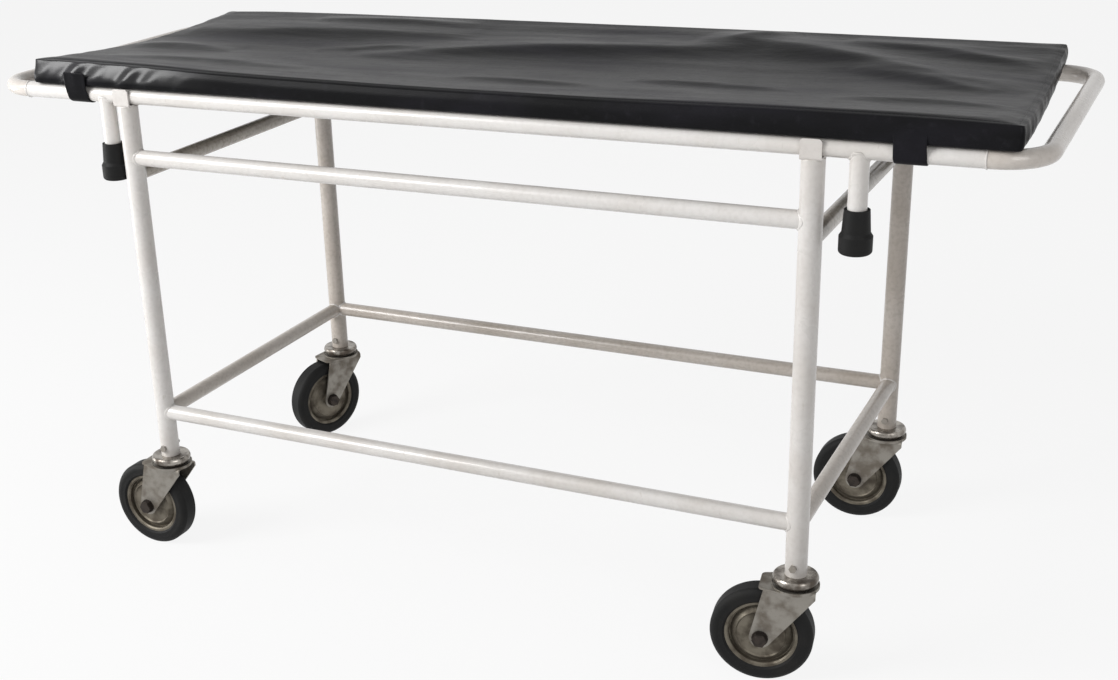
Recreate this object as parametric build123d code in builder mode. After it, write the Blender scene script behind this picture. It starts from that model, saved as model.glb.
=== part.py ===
from build123d import *

import os
from math import cos, radians, sin

# Stretcher trolley: a welded tube base on four swivel castors, with a lift-off stretcher,
# its carrying handles, rubber feet and pad. All sizes are in millimetres.
# X runs along the trolley, Y across it and Z up. The origin is on the floor, below the middle
# of the stretcher. Front is -Y, rear is +Y, left is -X and right is +X.

# Base frame
leg_spacing_x = 1100
leg_spacing_y = 560
leg_od = 31.8
leg_wall = 1.6
rail_od = 25.4
rail_wall = 1.6
lower_rail_rise = 79.5
upper_side_rail_drop = 83
upper_end_rail_drop = 109.5
weld_gap = 0.05

# Saddles at the leg tops, bent from flat bar
saddle_width = 29
saddle_bar = 3
saddle_bend = 4.5
saddle_corner = 5
saddle_side_gap = 0.4
rest_gap = 0.3

# Stretcher frame
stretcher_tube_od = 25.4
stretcher_tube_wall = 1.6
stretcher_tube_z = 794
stretcher_play = 11.6
left_foot_gap = 1.6
handle_bend = 60
handle_straight = 7
joint_beyond_slat = 41
inner_slat_count = 5
slat_inside_leg = 74
slat_beyond_loop = 50
slat_width = 40
slat_bar = 3
slat_end_rise = 2

# Rubber feet under the stretcher, just outboard of the legs
foot_drop = 137
ferrule_height = 59
ferrule_neck_od = 33.6
ferrule_waist_od = 37.6
ferrule_bulge_od = 44
ferrule_bulge_height = 24
ferrule_step = 5
ferrule_floor = 6
ferrule_round = 5
ferrule_fit = 0.1

# Pad and the cloth loops that hold it to the side tubes
pad_end_inset = 56
pad_overhang = 15.5
pad_shift = 18.5
pad_skew = 0.045
pad_thickness = 36
pad_sag = 24
pad_seat_margin = 2.5
pad_edge_round = 9
pad_corner = 14
loop_width = 42.5
loop_cloth = 2
right_loop_beyond_foot = 64.5
left_loop_beyond_foot = 46.3

# Castor wheels
wheel_radius = 75
tyre_width = 36
tyre_depth = 25
tyre_shoulder_depth = 13
tyre_shoulder_width = 7
tyre_crown = 3.2
tyre_crown_inset = 2.5
trail = 45
rim_lip = 3
rim_inset = 3
rim_sheet = 2.5
disc_inset = 2.5
disc_step = 13
disc_ridge = 2
groove_depth = 6.5
hub_radius = 12
bead_gap = 0.1

# Castor forks and heads
side_gap = 3
hub_end_gap = 0.5
fork_sheet = 3
fork_bend = 7
fork_tip_radius = 16
fork_front_reach = 31
fork_rear_reach = 42
fork_shoulder = 11
crown_clearance = 4.5
crown_rear_reach = 50
crown_corner = 7
head_radius = 34.5
head_lip = 1.4
head_lip_height = 1.8
ball_radius = 2.3
ball_inset = 8.1
ball_gap = 0.2
cup_inset = 1.5
cup_height = 11.5
cup_round = 2.5
kingpin_radius = 8
kingpin_head_radius = 12
kingpin_head_height = 7
kingpin_head_round = 3
spigot_length = 42
spigot_chamfer = 1
spigot_gap = 0.1
running_gap = 0.05

# Axle bolts
axle_radius = 6
axle_across = 19
axle_head = 7.5
axle_nut = 8
axle_tail = 2.5
washer_radius = 12
washer_thickness = 2

# Cross bolts that hold the castor spigots in the legs
leg_bolt_radius = 3
leg_bolt_gap = 0.1
leg_bolt_rise = 15.5
leg_bolt_across = 10
leg_bolt_head = 4
leg_bolt_nut = 5
leg_bolt_tail = 1.5

# How far each castor has swivelled about its leg, in degrees; at zero it trails to the left
swivel_angles = {"front_left": -1, "front_right": 9, "rear_left": 67, "rear_right": 2}

# Levels that follow from the castor, from the floor up
fork_half_inside = tyre_width / 2 + side_gap
fork_half_outside = fork_half_inside + fork_sheet
crown_under_z = 2 * wheel_radius + crown_clearance
crown_top_z = crown_under_z + fork_sheet
cup_under_z = crown_top_z + 2 * (ball_radius + ball_gap)
leg_foot_z = cup_under_z + cup_height
lower_rail_z = leg_foot_z + lower_rail_rise

# Radii and levels that follow from the tubes
leg_radius = leg_od / 2
leg_bore = leg_radius - leg_wall
rail_radius = rail_od / 2
tube_radius = stretcher_tube_od / 2
tube_bore = tube_radius - stretcher_tube_wall
tube_top_z = stretcher_tube_z + tube_radius
tube_y = leg_spacing_y / 2
saddle_seat_z = stretcher_tube_z - tube_radius - rest_gap
leg_top_z = saddle_seat_z - saddle_bar
upper_side_rail_z = leg_top_z - upper_side_rail_drop
upper_end_rail_z = leg_top_z - upper_end_rail_drop
pad_under_z = tube_top_z + rest_gap
foot_bottom_z = stretcher_tube_z - foot_drop

# Places along X, from the legs out to the ends of the stretcher. The stretcher can slide a little
# each way before a foot meets a leg, and here it lies with its left feet almost against the legs
foot_x = leg_spacing_x / 2 + leg_radius + ferrule_bulge_od / 2 + stretcher_play
trolley_shift = left_foot_gap - stretcher_play
right_loop_x = foot_x + right_loop_beyond_foot
left_loop_x = -foot_x - left_loop_beyond_foot
end_slat_x = right_loop_x + slat_beyond_loop
handle_joint_x = end_slat_x + joint_beyond_slat
stretcher_half_length = handle_joint_x + handle_straight + handle_bend

left_x = trolley_shift - leg_spacing_x / 2
right_x = trolley_shift + leg_spacing_x / 2
corners = {
    "front_left": (left_x, -tube_y),
    "front_right": (right_x, -tube_y),
    "rear_left": (left_x, tube_y),
    "rear_right": (right_x, tube_y),
}
foot_places = {
    "front_left": (-foot_x, -tube_y),
    "front_right": (foot_x, -tube_y),
    "rear_left": (-foot_x, tube_y),
    "rear_right": (foot_x, tube_y),
}

os.makedirs("parts", exist_ok=True)


def write(piece, name):
    """Label a finished piece and write it to its own file."""
    piece.label = name
    export_step(piece, f"parts/{name}.step")


# Legs: upright tubes, open at the foot for the castor's spigot and drilled for its cross bolt
def make_leg(x, y):
    with BuildPart() as leg:
        with BuildSketch(Plane.XY.offset(leg_foot_z)):
            with Locations((x, y)):
                Circle(leg_radius)
                Circle(leg_bore, mode=Mode.SUBTRACT)
        extrude(amount=leg_top_z - leg_foot_z)
        with BuildSketch(Plane.XZ.offset(-y)):
            with Locations((x, leg_foot_z + leg_bolt_rise)):
                Circle(leg_bolt_radius + leg_bolt_gap)
        extrude(amount=leg_od, both=True, mode=Mode.SUBTRACT)
    return leg.part


for corner, (x, y) in corners.items():
    write(make_leg(x, y), f"leg_{corner}")


# Rails: straight tubes, their ends coped to the legs that they are welded to
def make_side_rail(y, z):
    with BuildPart() as rail:
        with BuildSketch(Plane.YZ.offset(left_x)):
            with Locations((y, z)):
                Circle(rail_radius)
                Circle(rail_radius - rail_wall, mode=Mode.SUBTRACT)
        extrude(amount=leg_spacing_x)
        with BuildSketch(Plane.XY.offset(z)):
            with Locations((left_x, y), (right_x, y)):
                Circle(leg_radius + weld_gap)
        extrude(amount=rail_od, both=True, mode=Mode.SUBTRACT)
    return rail.part


def make_end_rail(x, z, side_rail_z):
    with BuildPart() as rail:
        with BuildSketch(Plane.XZ.offset(-tube_y)):
            with Locations((x, z)):
                Circle(rail_radius)
                Circle(rail_radius - rail_wall, mode=Mode.SUBTRACT)
        extrude(amount=leg_spacing_y)
        with BuildSketch(Plane.XY.offset(z)):
            with Locations((x, -tube_y), (x, tube_y)):
                Circle(leg_radius + weld_gap)
        extrude(amount=rail_od, both=True, mode=Mode.SUBTRACT)
        with BuildSketch(Plane.YZ.offset(x)):
            with Locations((-tube_y, side_rail_z), (tube_y, side_rail_z)):
                Circle(rail_radius + weld_gap)
        extrude(amount=rail_od, both=True, mode=Mode.SUBTRACT)
    return rail.part


for side, y in (("front", -tube_y), ("rear", tube_y)):
    write(make_side_rail(y, upper_side_rail_z), f"upper_rail_{side}")
    write(make_side_rail(y, lower_rail_z), f"lower_rail_{side}")
for end, x in (("left", left_x), ("right", right_x)):
    write(make_end_rail(x, upper_end_rail_z, upper_side_rail_z), f"upper_rail_{end}")
    write(make_end_rail(x, lower_rail_z, lower_rail_z), f"lower_rail_{end}")


# Saddles: flat bar bent to a square U that cradles the stretcher's side tube
saddle_inside = tube_radius + saddle_side_gap
saddle_outside = saddle_inside + saddle_bar
saddle_top_z = tube_top_z


def make_saddle(x, y):
    with BuildPart() as saddle:
        with BuildSketch(Plane.YZ.offset(x - saddle_width / 2)):
            with BuildLine():
                outer = FilletPolyline(
                    (y - saddle_outside, saddle_top_z),
                    (y - saddle_outside, leg_top_z),
                    (y + saddle_outside, leg_top_z),
                    (y + saddle_outside, saddle_top_z),
                    radius=saddle_bend,
                )
                inner = FilletPolyline(
                    (y - saddle_inside, saddle_top_z),
                    (y - saddle_inside, saddle_seat_z),
                    (y + saddle_inside, saddle_seat_z),
                    (y + saddle_inside, saddle_top_z),
                    radius=saddle_bend - saddle_bar,
                )
                Line(outer @ 0, inner @ 0)
                Line(outer @ 1, inner @ 1)
            make_face()
        extrude(amount=saddle_width)
        arm_corners = saddle.edges().filter_by(Axis.Y).group_by(Axis.Z)[-1]
        fillet(arm_corners, saddle_corner)
    return saddle.part


for corner, (x, y) in corners.items():
    write(make_saddle(x, y), f"saddle_{corner}")


# Fasteners are drawn along Y: the seat lies on the XZ plane, heads stand to -Y and the shank,
# the washers and the nuts run to +Y
def make_bolt(shank, across, head, length):
    with BuildPart() as bolt:
        with BuildSketch(Plane.XZ):
            RegularPolygon(across / 2, 6, major_radius=False)
        extrude(amount=head)
        with BuildSketch(Plane.XZ):
            Circle(shank)
        extrude(amount=-length)
    return bolt.part


def make_nut(shank, across, height):
    with BuildPart() as nut:
        with BuildSketch(Plane.XZ):
            RegularPolygon(across / 2, 6, major_radius=False)
            Circle(shank + running_gap, mode=Mode.SUBTRACT)
        extrude(amount=-height)
    return nut.part


def make_washer(shank, radius, thickness):
    with BuildPart() as washer:
        with BuildSketch(Plane.XZ):
            Circle(radius)
            Circle(shank + running_gap, mode=Mode.SUBTRACT)
        extrude(amount=-thickness)
    return washer.part


# Leg bolts: one hexagon bolt and nut through each leg and the spigot inside it
leg_seat = leg_radius + weld_gap
leg_bolt = make_bolt(
    leg_bolt_radius,
    leg_bolt_across,
    leg_bolt_head,
    2 * leg_seat + leg_bolt_nut + leg_bolt_tail,
)
leg_nut = make_nut(leg_bolt_radius, leg_bolt_across, leg_bolt_nut)
leg_fasteners = []
for x, y in corners.values():
    leg_fasteners.append(leg_bolt.moved(Location((x, y - leg_seat, leg_foot_z + leg_bolt_rise))))
    leg_fasteners.append(leg_nut.moved(Location((x, y + leg_seat, leg_foot_z + leg_bolt_rise))))
write(Compound(leg_fasteners), "leg_bolts")


# Castor pieces are drawn about their own swivel axis, trailing to -X, with the floor at zero

# Stem: the spigot in the leg, the bearing cup below it and the riveted king pin
cup_radius = head_radius - cup_inset
kingpin_head_top = crown_under_z - running_gap
kingpin_head_foot = kingpin_head_top - kingpin_head_height
spigot_radius = leg_bore - spigot_gap
spigot_top = leg_foot_z + spigot_length
with BuildPart() as castor_stem:
    with BuildSketch(Plane.XZ):
        with BuildLine():
            outline = Polyline(
                (cup_radius - cup_round, leg_foot_z),
                (spigot_radius, leg_foot_z),
                (spigot_radius, spigot_top - spigot_chamfer),
                (spigot_radius - spigot_chamfer, spigot_top),
                (0, spigot_top),
                (0, kingpin_head_foot),
                (kingpin_head_radius - kingpin_head_round, kingpin_head_foot),
                (kingpin_head_radius, kingpin_head_foot + kingpin_head_round),
                (kingpin_head_radius, kingpin_head_top),
                (kingpin_radius, kingpin_head_top),
                (kingpin_radius, cup_under_z),
                (cup_radius - cup_round, cup_under_z),
            )
            ThreePointArc(outline @ 1, (cup_radius, cup_under_z + cup_height / 2), outline @ 0)
        make_face()
    revolve(axis=Axis.Z)
    with BuildSketch(Plane.XZ):
        with Locations((0, leg_foot_z + leg_bolt_rise)):
            Circle(leg_bolt_radius + leg_bolt_gap)
    extrude(amount=leg_od, both=True, mode=Mode.SUBTRACT)

# Race: the ring of bearing balls between the cup and the crown of the fork
ball_circle_radius = head_radius - head_lip - ball_inset
with BuildPart() as castor_race:
    with BuildSketch(Plane.XZ):
        with Locations((ball_circle_radius, (crown_top_z + cup_under_z) / 2)):
            Circle(ball_radius)
    revolve(axis=Axis.Z)

# Fork: sheet steel pressed to a channel, its arms tapering to the axle, under a round head
with BuildPart() as castor_fork:
    with BuildSketch(Plane.YZ.offset(-trail - fork_tip_radius)):
        with BuildLine():
            outer = FilletPolyline(
                (-fork_half_outside, 0),
                (-fork_half_outside, crown_top_z),
                (fork_half_outside, crown_top_z),
                (fork_half_outside, 0),
                radius=fork_bend,
            )
            inner = FilletPolyline(
                (-fork_half_inside, 0),
                (-fork_half_inside, crown_under_z),
                (fork_half_inside, crown_under_z),
                (fork_half_inside, 0),
                radius=fork_bend - fork_sheet,
            )
            Line(outer @ 0, inner @ 0)
            Line(outer @ 1, inner @ 1)
        make_face()
    extrude(amount=trail + fork_tip_radius + fork_front_reach)
    with BuildSketch(Plane.XZ):
        with Locations((-trail, wheel_radius)):
            Circle(fork_tip_radius)
        with Locations(((fork_front_reach - fork_rear_reach) / 2, crown_top_z)):
            Rectangle(
                fork_front_reach + fork_rear_reach, fork_shoulder, align=(Align.CENTER, Align.MAX)
            )
        make_hull()
    extrude(amount=fork_half_outside, both=True, mode=Mode.INTERSECT)
    with BuildSketch(Plane.XY.offset(crown_under_z)):
        Circle(head_radius)
        with Locations((-crown_rear_reach, 0)):
            RectangleRounded(
                crown_rear_reach,
                2 * fork_half_outside,
                crown_corner,
                align=(Align.MIN, Align.CENTER),
            )
        make_hull()
    extrude(amount=fork_sheet)
    with BuildSketch(Plane.XY.offset(crown_top_z)):
        Circle(head_radius)
        Circle(head_radius - head_lip, mode=Mode.SUBTRACT)
    extrude(amount=head_lip_height)
    with BuildSketch(Plane.XY.offset(crown_under_z)):
        Circle(kingpin_radius + running_gap)
    extrude(amount=fork_sheet, mode=Mode.SUBTRACT)
    with BuildSketch(Plane.XZ):
        with Locations((-trail, wheel_radius)):
            Circle(axle_radius + running_gap)
    extrude(amount=fork_half_outside, both=True, mode=Mode.SUBTRACT)

# Axle: hexagon bolt through both arms and the hub, with a washer at each arm and a nut
axle_seat = fork_half_outside + washer_thickness
axle_bolt = make_bolt(
    axle_radius, axle_across, axle_head, 2 * axle_seat + axle_nut + axle_tail
)
axle_washer = make_washer(axle_radius, washer_radius, washer_thickness)
castor_axle = Compound(
    [
        axle_bolt.moved(Location((-trail, -axle_seat, wheel_radius))),
        axle_washer.moved(Location((-trail, -axle_seat, wheel_radius))),
        axle_washer.moved(Location((-trail, fork_half_outside, wheel_radius))),
        make_nut(axle_radius, axle_across, axle_nut).moved(
            Location((-trail, axle_seat, wheel_radius))
        ),
    ]
)

# Wheel pieces are turned about the axle: in their sections the first value is the radius and
# the second the distance from the wheel's middle plane
wheel_axis = Axis((-trail, 0, wheel_radius), (0, 1, 0))
wheel_section = Plane(origin=(-trail, 0, wheel_radius), x_dir=(0, 0, 1), z_dir=(1, 0, 0))


def both_sides(half):
    """The closed outline whose upper half is given, from the hub out to the rim."""
    return half + [(radius, -offset) for radius, offset in reversed(half)]


# Rim: two dished pressings riveted over the hub, with the space between them left hollow
hub_half = fork_half_inside - hub_end_gap
rim_radius = wheel_radius - tyre_depth
rim_half_width = tyre_width / 2 - rim_inset
disc_half = rim_half_width - disc_inset
disc_radius = rim_radius - disc_step
groove_half = disc_half - groove_depth
rim_outline = [
    (axle_radius + running_gap, hub_half),
    (hub_radius, hub_half),
    (hub_radius + rim_sheet, disc_half),
    (disc_radius - disc_ridge, disc_half),
    (disc_radius, disc_half + disc_ridge),
    (disc_radius + disc_ridge, disc_half),
    (rim_radius - rim_sheet - disc_ridge, groove_half),
    (rim_radius - rim_sheet, groove_half),
    (rim_radius - rim_sheet, rim_half_width - disc_ridge),
    (rim_radius - rim_sheet + disc_ridge, rim_half_width),
    (rim_radius + rim_lip, rim_half_width),
    (rim_radius + rim_lip, rim_half_width - rim_sheet),
    (rim_radius, rim_half_width - rim_sheet),
]
rim_hollow = [
    (hub_radius, disc_half - rim_sheet),
    (disc_radius, disc_half - rim_sheet),
    (rim_radius - rim_sheet - disc_ridge, groove_half - rim_sheet),
]
with BuildPart() as castor_rim:
    with BuildSketch(wheel_section):
        with BuildLine():
            Polyline(both_sides(rim_outline), close=True)
        make_face()
        with BuildLine():
            Polyline(both_sides(rim_hollow), close=True)
        make_face(mode=Mode.SUBTRACT)
    revolve(axis=wheel_axis)

# Tyre: solid rubber seated between the lips of the rim, with a crowned tread
tyre_seat = rim_radius + bead_gap
tyre_bead = rim_radius + rim_lip + bead_gap
bead_half = rim_half_width - rim_sheet - bead_gap
tread_half = tyre_width / 2 - tyre_shoulder_width
with BuildPart() as castor_tyre:
    with BuildSketch(wheel_section):
        with BuildLine():
            wall = Polyline(
                (tyre_seat, 0),
                (tyre_seat, bead_half),
                (tyre_bead, bead_half),
                (tyre_bead, rim_half_width + bead_gap),
                (tyre_bead + rim_lip, tyre_width / 2),
                (wheel_radius - tyre_shoulder_depth, tyre_width / 2),
            )
            tread = ThreePointArc(
                wall @ 1,
                (wheel_radius - tyre_crown, tyre_width / 2 - tyre_crown_inset),
                (wheel_radius, tread_half),
            )
            Line(tread @ 1, (wheel_radius, 0))
            mirror(about=Plane.XZ)
        make_face()
    revolve(axis=wheel_axis)

for corner, (x, y) in corners.items():
    angle = radians(swivel_angles[corner])
    under_leg = Plane(origin=(x, y, 0), x_dir=(cos(angle), sin(angle), 0), z_dir=(0, 0, 1))
    write(castor_stem.part.moved(Location((x, y, 0))), f"castor_stem_{corner}")
    write(castor_race.part.moved(under_leg.location), f"castor_race_{corner}")
    write(castor_fork.part.moved(under_leg.location), f"castor_fork_{corner}")
    write(castor_axle.moved(under_leg.location), f"castor_axle_{corner}")
    write(castor_rim.part.moved(under_leg.location), f"castor_rim_{corner}")
    write(castor_tyre.part.moved(under_leg.location), f"castor_tyre_{corner}")


# Stretcher side tubes: they lie in the saddles and run to the handle joints
def make_side_tube(y):
    with BuildPart() as side_tube:
        with BuildSketch(Plane.YZ.offset(-handle_joint_x)):
            with Locations((y, stretcher_tube_z)):
                Circle(tube_radius)
                Circle(tube_bore, mode=Mode.SUBTRACT)
        extrude(amount=2 * handle_joint_x)
    return side_tube.part


# Handles: one tube bent to a U at each end, butted to the side tubes
def make_handle(end):
    with BuildPart() as handle:
        with BuildLine(Plane.XY.offset(stretcher_tube_z)):
            FilletPolyline(
                (end * handle_joint_x, -tube_y),
                (end * stretcher_half_length, -tube_y),
                (end * stretcher_half_length, tube_y),
                (end * handle_joint_x, tube_y),
                radius=handle_bend,
            )
        with BuildSketch(
            Plane(origin=(end * handle_joint_x, -tube_y, stretcher_tube_z), z_dir=(end, 0, 0))
        ):
            Circle(tube_radius)
            Circle(tube_bore, mode=Mode.SUBTRACT)
        sweep()
    return handle.part


write(make_side_tube(-tube_y), "side_tube_front")
write(make_side_tube(tube_y), "side_tube_rear")
write(make_handle(-1), "handle_left")
write(make_handle(1), "handle_right")

# Slats: dished flat bars welded between the side tubes, which carry the middle of the pad.
# The inner ones are spread between the saddles, and one more stands near each handle
inner_slat_pitch = (leg_spacing_x - 2 * slat_inside_leg) / (inner_slat_count - 1)
slat_places = [(step - (inner_slat_count - 1) / 2) * inner_slat_pitch for step in range(inner_slat_count)]
slat_places += [-end_slat_x, end_slat_x]
slat_end_z = stretcher_tube_z + slat_end_rise
slat_middle_z = pad_under_z - pad_sag - rest_gap
slat_reach = tube_y - tube_radius / 2
with BuildPart() as slats:
    for slat_x in slat_places:
        with BuildSketch(Plane.YZ.offset(slat_x - slat_width / 2)):
            with BuildLine():
                top = ThreePointArc(
                    (-slat_reach, slat_end_z), (0, slat_middle_z), (slat_reach, slat_end_z)
                )
                under = ThreePointArc(
                    (-slat_reach, slat_end_z - slat_bar),
                    (0, slat_middle_z - slat_bar),
                    (slat_reach, slat_end_z - slat_bar),
                )
                Line(top @ 0, under @ 0)
                Line(top @ 1, under @ 1)
            make_face()
            with Locations((-tube_y, stretcher_tube_z), (tube_y, stretcher_tube_z)):
                Circle(tube_radius + weld_gap, mode=Mode.SUBTRACT)
        extrude(amount=slat_width)
write(slats.part, "cross_slats")


# Foot tubes: short stubs coped and welded under the side tubes
def make_foot_tube(x, y):
    with BuildPart() as foot_tube:
        with BuildSketch(Plane.XY.offset(foot_bottom_z + ferrule_floor)):
            with Locations((x, y)):
                Circle(tube_radius)
                Circle(tube_bore, mode=Mode.SUBTRACT)
        extrude(amount=stretcher_tube_z - foot_bottom_z - ferrule_floor)
        with BuildSketch(Plane.YZ.offset(x)):
            with Locations((y, stretcher_tube_z)):
                Circle(tube_radius + weld_gap)
        extrude(amount=stretcher_tube_od, both=True, mode=Mode.SUBTRACT)
    return foot_tube.part


# Ferrules: rubber feet pushed over the foot tubes, with a swollen lower half
ferrule_bore = tube_radius + ferrule_fit
with BuildPart() as ferrule:
    with BuildSketch(Plane.XZ):
        with BuildLine():
            inside = Polyline(
                (ferrule_neck_od / 2, ferrule_height),
                (ferrule_bore, ferrule_height),
                (ferrule_bore, ferrule_floor),
                (0, ferrule_floor),
                (0, 0),
                (ferrule_bulge_od / 2 - ferrule_round, 0),
            )
            edge = RadiusArc(inside @ 1, (ferrule_bulge_od / 2, ferrule_round), -ferrule_round)
            Polyline(
                edge @ 1,
                (ferrule_bulge_od / 2, ferrule_bulge_height),
                (ferrule_waist_od / 2, ferrule_bulge_height + ferrule_step),
                inside @ 0,
            )
        make_face()
    revolve(axis=Axis.Z)

for corner, (x, y) in foot_places.items():
    write(make_foot_tube(x, y), f"foot_tube_{corner}")
    write(ferrule.part.moved(Location((x, y, foot_bottom_z))), f"foot_ferrule_{corner}")

# Pad: a slab that rests on the side tubes and sags onto the slats between them
loop_inside = tube_radius + rest_gap
loop_outside = loop_inside + loop_cloth
pad_top_z = pad_under_z + pad_thickness
pad_half_length = stretcher_half_length - pad_end_inset
pad_half_width = tube_y + pad_overhang
pad_hang = tube_y - loop_outside - pad_seat_margin
pad_slant = pad_skew * pad_half_width
pad_reach = pad_half_length + pad_slant
with BuildPart() as pad:
    with BuildSketch(Plane.YZ.offset(pad_shift - pad_reach)):
        with BuildLine():
            hollow = ThreePointArc(
                (-pad_hang, pad_under_z), (0, pad_under_z - pad_sag), (pad_hang, pad_under_z)
            )
            dip = ThreePointArc(
                (-pad_half_width + pad_edge_round, pad_top_z),
                (0, pad_top_z - pad_sag),
                (pad_half_width - pad_edge_round, pad_top_z),
            )
            for side, under, over in ((-1, hollow @ 0, dip @ 0), (1, hollow @ 1, dip @ 1)):
                wall = Polyline(
                    under,
                    (side * pad_half_width, pad_under_z),
                    (side * pad_half_width, pad_top_z - pad_edge_round),
                )
                RadiusArc(wall @ 1, over, -side * pad_edge_round)
        make_face()
    extrude(amount=2 * pad_reach)
    with BuildSketch(Plane.XY.offset(pad_under_z - pad_sag)):
        with BuildLine():
            Polyline(
                (pad_shift + pad_slant - pad_half_length, -pad_half_width),
                (pad_shift + pad_slant + pad_half_length, -pad_half_width),
                (pad_shift - pad_slant + pad_half_length, pad_half_width),
                (pad_shift - pad_slant - pad_half_length, pad_half_width),
                close=True,
            )
        make_face()
        fillet(vertices(), pad_corner)
    extrude(amount=pad_sag + pad_thickness, mode=Mode.INTERSECT)
write(pad.part, "pad")

# Pad loops: bands of cloth round the side tubes, their ends sewn to the underside of the pad
loop_top_z = pad_under_z - rest_gap
loop_middle = loop_inside + loop_cloth / 2


def make_pad_loop(x, y):
    with BuildPart() as loop:
        with BuildSketch(Plane.YZ.offset(x - loop_width / 2)):
            with Locations((y, stretcher_tube_z)):
                Circle(loop_outside)
                Circle(loop_inside, mode=Mode.SUBTRACT)
                Rectangle(
                    2 * loop_outside,
                    loop_outside,
                    align=(Align.CENTER, Align.MIN),
                    mode=Mode.SUBTRACT,
                )
            with Locations((y - loop_middle, stretcher_tube_z), (y + loop_middle, stretcher_tube_z)):
                Rectangle(
                    loop_cloth,
                    loop_top_z - stretcher_tube_z,
                    align=(Align.CENTER, Align.MIN),
                )
        extrude(amount=loop_width)
    return loop.part


for side, y in (("front", -tube_y), ("rear", tube_y)):
    write(make_pad_loop(left_loop_x, y), f"pad_loop_{side}_left")
    write(make_pad_loop(right_loop_x, y), f"pad_loop_{side}_right")
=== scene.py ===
# %% [markdown]
# # A stretcher trolley, dressed in Blender
# The trolley was drawn in CAD at its real size. This script loads that imported model as a frame
# that never moves, gives each of its steel and rubber pieces a finish, and builds what CAD is poor
# at: the slack leathercloth pad, the cloth loops and the weld beads. One unit is one metre, +X runs
# along the trolley to its right handle, +Y across it to the far side, and +Z is up.

# %% Load the imported trolley
import math

import bmesh
import bpy
import numpy as np
from mathutils import Matrix, Vector, noise


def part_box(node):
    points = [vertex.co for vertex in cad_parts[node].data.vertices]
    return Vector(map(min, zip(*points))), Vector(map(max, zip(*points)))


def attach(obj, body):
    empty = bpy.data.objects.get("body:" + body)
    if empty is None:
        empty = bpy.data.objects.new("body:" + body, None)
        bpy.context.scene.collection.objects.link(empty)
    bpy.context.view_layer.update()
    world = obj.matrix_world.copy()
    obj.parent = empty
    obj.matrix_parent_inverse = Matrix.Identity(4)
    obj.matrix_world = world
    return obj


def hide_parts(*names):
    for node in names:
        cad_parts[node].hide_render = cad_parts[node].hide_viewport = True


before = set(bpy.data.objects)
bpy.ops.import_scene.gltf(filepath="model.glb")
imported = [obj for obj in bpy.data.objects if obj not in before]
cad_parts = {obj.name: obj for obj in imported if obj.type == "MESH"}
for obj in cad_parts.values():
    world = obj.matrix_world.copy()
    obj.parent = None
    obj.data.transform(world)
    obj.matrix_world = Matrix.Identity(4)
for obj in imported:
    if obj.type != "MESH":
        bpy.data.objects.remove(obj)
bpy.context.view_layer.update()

# %% [markdown]
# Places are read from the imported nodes, so that every new piece follows the trolley if a size
# changes.

# %% Places that the new pieces need
CORNERS = ("front_left", "front_right", "rear_left", "rear_right")
MM = 0.001


def middle(node):
    """The middle of a CAD node's box."""
    low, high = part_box(node)
    return (low + high) / 2


def half_size(node):
    """Half of a CAD node's size along X, Y and Z."""
    low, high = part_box(node)
    return (high - low) / 2


leg_axis = {corner: middle(f"leg_{corner}") for corner in CORNERS}
leg_radius = half_size("leg_front_left").x
leg_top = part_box("leg_front_left")[1].z
rail_radius = half_size("lower_rail_front").z
tube_radius = half_size("side_tube_front").z
tube_height = middle("side_tube_front").z
tube_offset = middle("side_tube_rear").y
foot_axis = {corner: middle(f"foot_tube_{corner}") for corner in CORNERS}
print(f"leg {leg_radius * 2000:.1f} mm across, side tubes {tube_height * 1000:.0f} mm up")

# %% [markdown]
# ## The camera
# The photograph was taken from in front of the trolley's right end and from above the pad. It
# looks down and to the left. Its lens, place and lean were solved from the straight tubes, so
# they are written here as plain numbers. The picture is a cut from a larger frame, which the two
# small shifts repeat.

# %% Camera at the photograph's viewpoint
CAMERA_PLACE = Vector((1.0450, -2.2006, 1.2742))
CAMERA_TURN = math.radians(27.109)
CAMERA_DIP = math.radians(21.885)
CAMERA_LEAN = math.radians(-2.251)
CAMERA_LENS = 49.947
CAMERA_SHIFT = (0.0625, 0.0324)


def camera_matrix():
    """The camera's place and its three axes, from its turn, its dip and its lean."""
    ahead = Vector((
        -math.sin(CAMERA_TURN) * math.cos(CAMERA_DIP),
        math.cos(CAMERA_TURN) * math.cos(CAMERA_DIP),
        -math.sin(CAMERA_DIP),
    ))
    right = ahead.cross(Vector((0, 0, 1))).normalized()
    up = right.cross(ahead)
    axes = Matrix((
        right * math.cos(CAMERA_LEAN) + up * math.sin(CAMERA_LEAN),
        up * math.cos(CAMERA_LEAN) - right * math.sin(CAMERA_LEAN),
        -ahead,
    )).transposed()
    return Matrix.Translation(CAMERA_PLACE) @ axes.to_4x4()


camera = bpy.data.objects.new("camera", bpy.data.cameras.new("camera"))
camera.data.sensor_width = 36
camera.data.lens = CAMERA_LENS
camera.data.shift_x, camera.data.shift_y = CAMERA_SHIFT
camera.matrix_world = camera_matrix()
bpy.context.scene.collection.objects.link(camera)
bpy.context.scene.camera = camera
bpy.context.scene.view_settings.view_transform = "Standard"
print("camera at", [round(value, 3) for value in CAMERA_PLACE])

# %% [markdown]
# ## Writing shaders as sums
# A finish is mostly arithmetic on patterns: a bit of this noise, less of it near the floor.
# Nodes can be wired by hand, but a page of `links.new` hides the sum. Here `Signal` wraps a
# socket so that Python's own operators add the Math nodes, and `Finish.node` adds every other
# kind of node from its settings and sockets.


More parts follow.
